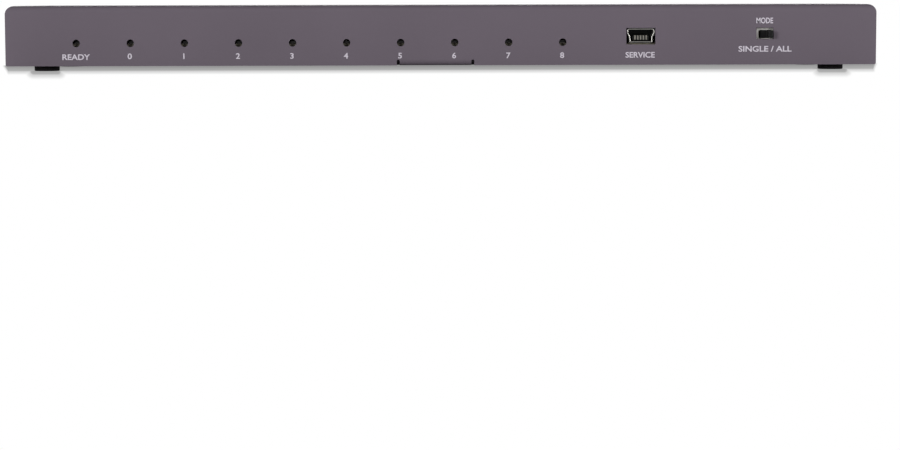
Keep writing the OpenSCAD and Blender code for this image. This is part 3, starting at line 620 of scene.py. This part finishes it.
class SPLITTER_OT_indicators(Operator):
    """Finishes the diodes behind the front holes"""

    bl_idname = "splitter.indicators"
    bl_label = "Indicators"

    def execute(self, context):
        low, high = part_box(LEDS[0])
        repaint(LEDS, smoked_diode("led_resin", low.z + 0.35 * (high.z - low.z)))
        return {"FINISHED"}


class SPLITTER_OT_video_sockets(Operator):
    """Rounds and finishes the nine video sockets"""

    bl_idname = "splitter.video_sockets"
    bl_label = "Video sockets"

    def execute(self, context):
        paint, shape = context.scene.splitter_paint, context.scene.splitter_shape
        steel = plated_metal("socket_steel", paint.plating, 0.3)
        plastic = moulded("socket_plastic", paint.plastic, 0.5)
        for port in PORTS:
            refine(f"hdmi_{port}_shell", shape.shell_edge, steel)
            refine(f"hdmi_{port}_insulator", shape.plastic_edge, plastic)
        repaint(["hdmi_contacts", "switch_clip"], plated_metal("contact_gold", srgb(222, 180, 96), 0.24))
        return {"FINISHED"}


class SPLITTER_OT_power_inlet(Operator):
    """Rounds and finishes the power inlet"""

    bl_idname = "splitter.power_inlet"
    bl_label = "Power inlet"

    def execute(self, context):
        paint, shape = context.scene.splitter_paint, context.scene.splitter_shape
        refine("dc_jack_body", shape.plastic_edge, moulded("inlet_plastic", paint.plastic, 0.45))
        repaint(["dc_jack_pin", "dc_jack_spring"], plated_metal("inlet_steel", paint.plating, 0.26))
        return {"FINISHED"}


class SPLITTER_OT_service_port(Operator):
    """Rounds and finishes the small port on the front"""

    bl_idname = "splitter.service_port"
    bl_label = "Service port"

    def execute(self, context):
        paint, shape = context.scene.splitter_paint, context.scene.splitter_shape
        steel = plated_metal("port_steel", scaled(paint.plating, 0.62), 0.34)
        refine("usb_shell", shape.port_edge, steel, rings=4)
        refine("usb_insulator", shape.shell_edge, moulded("port_plastic", paint.plastic, 0.5))
        repaint(["usb_contacts"], plated_metal("port_contacts", srgb(152, 148, 140), 0.3))
        return {"FINISHED"}


class SPLITTER_OT_mode_switch(Operator):
    """Rounds and finishes the slide switch"""

    bl_idname = "splitter.mode_switch"
    bl_label = "Mode switch"

    def execute(self, context):
        paint, shape = context.scene.splitter_paint, context.scene.splitter_shape
        steel = plated_metal("switch_steel", srgb(188, 186, 182), 0.5, axis=0, metallic=0.3)
        refine("switch_frame", shape.shell_edge, steel)
        refine("switch_slider", shape.knob_edge, moulded("knob_plastic", paint.plastic, 0.42),
               SLIDER, 3)
        repaint(["switch_base"], moulded("phenolic", srgb(96, 66, 42), 0.6))
        return {"FINISHED"}


class SPLITTER_OT_legends(Operator):
    """Prints the plain legends on the front panel and the rear lip"""

    bl_idname = "splitter.legends"
    bl_label = "Legends"

    def execute(self, context):
        shape = context.scene.splitter_shape
        ink = printed_ink("legend_ink", context.scene.splitter_paint.ink)
        capital = self.capital_height()
        low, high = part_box("top_cover")
        # Each word, the node that it stands at, how far aside and how high in millimetres, and its width
        front = [("READY", "power_led", -0.15, 4.1, 1.14), ("0", "input_led", -0.17, 4.3, 1.15)]
        front += [(str(k), f"output_led_{k}", -0.17, 4.3, 1.1) for k in range(1, 9)]
        front += [("SERVICE", "usb_shell", -0.2, 4.35, 1.05), ("MODE", "switch_frame", -0.4, 13.9, 0.77),
                  ("SINGLE / ALL", "switch_frame", -0.25, 5.95, 1.2)]
        size = shape.letter / capital
        pieces = [self.word(text, size, wide, (self.middle(node) + aside * MM, low.y, level * MM), 0)
                  for text, node, aside, level, wide in front]
        self.join(pieces, "front_print", ink)
        size = shape.rear_letter / capital
        rear = [("IN" if port == "in" else "OUT " + port[-1], self.middle(f"hdmi_{port}_shell"))
                for port in PORTS]
        pieces = [self.word(text, size, 1.0, (x, high.y, LIP_PRINT), math.pi) for text, x in rear]
        self.join(pieces, "rear_print", ink)
        return {"FINISHED"}

    @staticmethod
    def middle(node):
        """Where the middle of a node is along the case."""
        low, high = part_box(node)
        return (low.x + high.x) / 2

    @staticmethod
    def flat_word(text):
        """A word as a flat curve at the origin."""
        bpy.ops.object.select_all(action="DESELECT")
        bpy.ops.object.text_add()
        piece = bpy.context.object
        piece.data.body = text
        piece.data.align_x = "CENTER"
        piece.data.offset = LETTER_WEIGHT
        return piece

    def capital_height(self):
        """The height of a capital of size one."""
        piece = self.flat_word("H")
        bpy.context.view_layer.update()
        height = piece.dimensions.y
        bpy.ops.object.delete()
        return height

    def word(self, text, size, wide, middle, turn):
        """A word in ink on an upright face, centred on a point."""
        shape = bpy.context.scene.splitter_shape
        piece = self.flat_word(text)
        piece.data.extrude = shape.ink / 2
        piece.data.resolution_u = 4
        bpy.ops.object.convert(target="MESH")
        piece = bpy.context.object
        piece.scale = (size * wide, size, 1)
        piece.rotation_euler = (math.pi / 2, 0, turn)
        drop = (shape.letter if turn == 0 else shape.rear_letter) / 2
        piece.location = (middle[0], middle[1], middle[2] - drop)
        bpy.ops.object.transform_apply(location=True, rotation=True, scale=True)
        edit(piece)
        bpy.ops.mesh.remove_doubles(threshold=MERGE_GAP)
        bpy.ops.mesh.normals_make_consistent(inside=False)
        close()
        return piece

    @staticmethod
    def join(pieces, name, ink):
        """Makes one piece of the words of a face."""
        only(pieces[0])
        for piece in pieces:
            piece.select_set(True)
        bpy.ops.object.join()
        piece = bpy.context.object
        piece.name = name
        belongs(piece, ink)


class SPLITTER_OT_stage(Operator):
    """Lays the floor, sets the lamps and places the camera"""

    bl_idname = "splitter.stage"
    bl_label = "Stage"

    def execute(self, context):
        stage = context.scene.splitter_stage
        context.scene.view_settings.view_transform = "Standard"
        self.floor(stage)
        self.sky(context.scene, stage)
        self.lamp("left_lamp", (-SIDE_LAMP[0], *SIDE_LAMP[1:]), SIDE_LAMP_SIZE, stage.key)
        self.lamp("right_lamp", SIDE_LAMP, SIDE_LAMP_SIZE, stage.key)
        self.lamp("rear_lamp", REAR_LAMP, REAR_LAMP_SIZE, stage.fill)
        self.camera(context.scene, stage)
        return {"FINISHED"}

    @staticmethod
    def floor(stage):
        """A wide white floor with a shade of the case and its front feet painted on it by position, in which
        the lamps' real shadows also show.
        """
        bpy.ops.object.select_all(action="DESELECT")
        bpy.ops.mesh.primitive_plane_add(size=FLOOR_SIZE)
        plane = bpy.context.object
        plane.name = "floor"
        material = bpy.data.materials.new("white_floor_painted_shade")
        material.use_nodes = True
        white = Nodes(material.node_tree)
        low, high = CAD_BOX
        x, y, _ = white.parts(white.node("ShaderNodeTexCoord", output=3))
        depth = high.y - low.y
        ahead = white.calc("MAXIMUM", low.y - y, 0.0)
        beyond = white.calc("MAXIMUM", y - high.y, 0.0) * REAR_FADE
        under = white.calc("MINIMUM", white.calc("MAXIMUM", y - low.y, 0.0), depth)
        spread = (under - ahead) * (high.x / stage.distance) + (high.x - PAINTED_SHADE_INSET)
        aside = white.calc("MAXIMUM", white.calc("ABSOLUTE", x) - spread, 0.0)
        fade = white.calc("MINIMUM", SIDE_FADE_START - beyond * SIDE_FADE_DROP, SIDE_FADE)
        aside = aside * white.calc("MAXIMUM", fade, SOFT_SIDE_FADE)
        clear = white.calc("SQRT", aside * aside + ahead * ahead + beyond * beyond)
        # How far a point lies out in the painted shade of the case: a half at the case's front, nought at its
        # rear, rising outwards
        painted_shade_reach = clear * (0.5 / stage.shade) - under * (0.5 / depth) + 0.5
        # A painted shade in front of each front foot, which lowers the floor's reach there
        for foot in FEET[:2]:
            near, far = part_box(foot)
            middle = (near.x + far.x) / 2
            before = white.calc("MAXIMUM", near.y - y, 0.0)
            behind = white.calc("MAXIMUM", y - far.y, 0.0)
            beside = white.calc("ABSOLUTE", x + before * (middle / stage.distance) - middle)
            beside = white.calc("MAXIMUM", beside - (far.x - near.x) * FOOT_SHARE, 0.0) * FOOT_FADE
            away = white.calc("SQRT", beside * beside + before * before + behind * behind)
            patch = away * (FOOT_PAINTED_SHADE_SLOPE / stage.shade) + FOOT_PAINTED_SHADE_START
            painted_shade_reach = white.calc("MINIMUM", painted_shade_reach, patch)
        # The glow seen by the camera and the diffuse tone both fall in the painted shade, so the floor is
        # darker there by position
        glow_and_painted_shade = white.ramp(painted_shade_reach, *FLOOR_GLOW_AND_PAINTED_SHADE)
        tone = white.ramp(painted_shade_reach, *FLOOR_TONE_AND_PAINTED_SHADE)
        diffuse = white.node("ShaderNodeBsdfDiffuse", {}, {"Color": tone})
        light = white.node("ShaderNodeEmission", {}, {"Color": (1, 1, 1, 1), "Strength": 1.0})
        surface = white.node("ShaderNodeMixShader", {}, {0: glow_and_painted_shade * white.seen(), 1: diffuse, 2: light})
        white.node("ShaderNodeOutputMaterial", {}, {"Surface": surface})
        plane.data.materials.append(material)

    @staticmethod
    def sky(scene, stage):
        """A soft surround: dim in front and overhead, brighter at the sides and low behind the case."""
        scene.world = bpy.data.worlds.new("studio")
        scene.world.use_nodes = True
        sky = Nodes(scene.world.node_tree)
        x, y, z = sky.parts(sky.node("ShaderNodeTexCoord"))
        beside = sky.ramp(sky.calc("ABSOLUTE", x), (0.3, stage.front), (0.6, stage.sides))
        low = sky.ramp(z, (0.0, 1.0), (0.2, 1.0), (0.5, 0.0))
        ahead = sky.mix(low, (stage.above, stage.above, stage.above, 1), beside)
        behind = sky.ramp(z, (0.0, stage.back), (0.14, stage.back), (0.26, stage.above))
        studio = sky.mix(sky.ramp(y * 0.5 + 0.5, (0.4, 0.0), (0.6, 1.0)), ahead, behind)
        level = sky.mix(sky.seen("Camera"), studio, (1, 1, 1, 1))
        ground = sky.node("ShaderNodeBackground", {}, {"Color": level, "Strength": 1.0})
        sky.node("ShaderNodeOutputWorld", {}, {"Surface": ground})

    @staticmethod
    def lamp(name, place, size, power):
        """A soft lamp that looks at the case."""
        bpy.ops.object.light_add(type="AREA", location=place)
        lamp = bpy.context.object
        lamp.name = name
        lamp.data.shape = "RECTANGLE"
        lamp.data.size, lamp.data.size_y = size
        lamp.data.energy = power
        lamp.visible_camera = False
        lamp.rotation_euler = (-Vector(place)).to_track_quat("-Z", "Y").to_euler()

    @staticmethod
    def camera(scene, stage):
        """The camera, low in front of the panel."""
        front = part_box("top_cover")[0].y
        place = Vector((stage.side, front - stage.distance, stage.height))
        aim = Vector((stage.aim_side, front, -stage.aim_down))
        bpy.ops.object.camera_add(location=place)
        camera = bpy.context.object
        camera.rotation_mode = "QUATERNION"
        turned = (aim - place).to_track_quat("-Z", "Y")
        camera.rotation_quaternion = turned @ Quaternion((0, 0, 1), stage.roll)
        camera.data.lens = stage.lens
        camera.data.clip_end = 100
        scene.camera = camera


STEPS = ("case", "feet", "fixings", "board", "indicators", "video_sockets", "power_inlet", "service_port",
         "mode_switch", "legends", "stage")


class SPLITTER_PT_pieces(Panel):
    """The splitter's pieces and settings in the sidebar"""

    bl_idname = "SPLITTER_PT_pieces"
    bl_label = "Video splitter"
    bl_space_type = "VIEW_3D"
    bl_region_type = "UI"
    bl_category = "Splitter"

    def draw(self, context):
        for group in (context.scene.splitter_paint, context.scene.splitter_shape,
                      context.scene.splitter_stage):
            box = self.layout.box()
            for name in group.__annotations__:
                box.prop(group, name)
        for step in STEPS:
            self.layout.operator("splitter." + step)


GROUPS = {"splitter_paint": SplitterPaint, "splitter_shape": SplitterShape, "splitter_stage": SplitterStage}
CLASSES = (
    *GROUPS.values(), SPLITTER_OT_case, SPLITTER_OT_feet, SPLITTER_OT_fixings, SPLITTER_OT_board,
    SPLITTER_OT_indicators, SPLITTER_OT_video_sockets, SPLITTER_OT_power_inlet, SPLITTER_OT_service_port,
    SPLITTER_OT_mode_switch, SPLITTER_OT_legends, SPLITTER_OT_stage, SPLITTER_PT_pieces)


def register():
    for made in CLASSES:
        bpy.utils.register_class(made)
    for name, group in GROUPS.items():
        setattr(bpy.types.Scene, name, PointerProperty(type=group))


def unregister():
    for name in GROUPS:
        delattr(bpy.types.Scene, name)
    for made in reversed(CLASSES):
        bpy.utils.unregister_class(made)


def main():
    register()
    for step in STEPS:
        getattr(bpy.ops.splitter, step)()


if __name__ == "__main__":
    main()
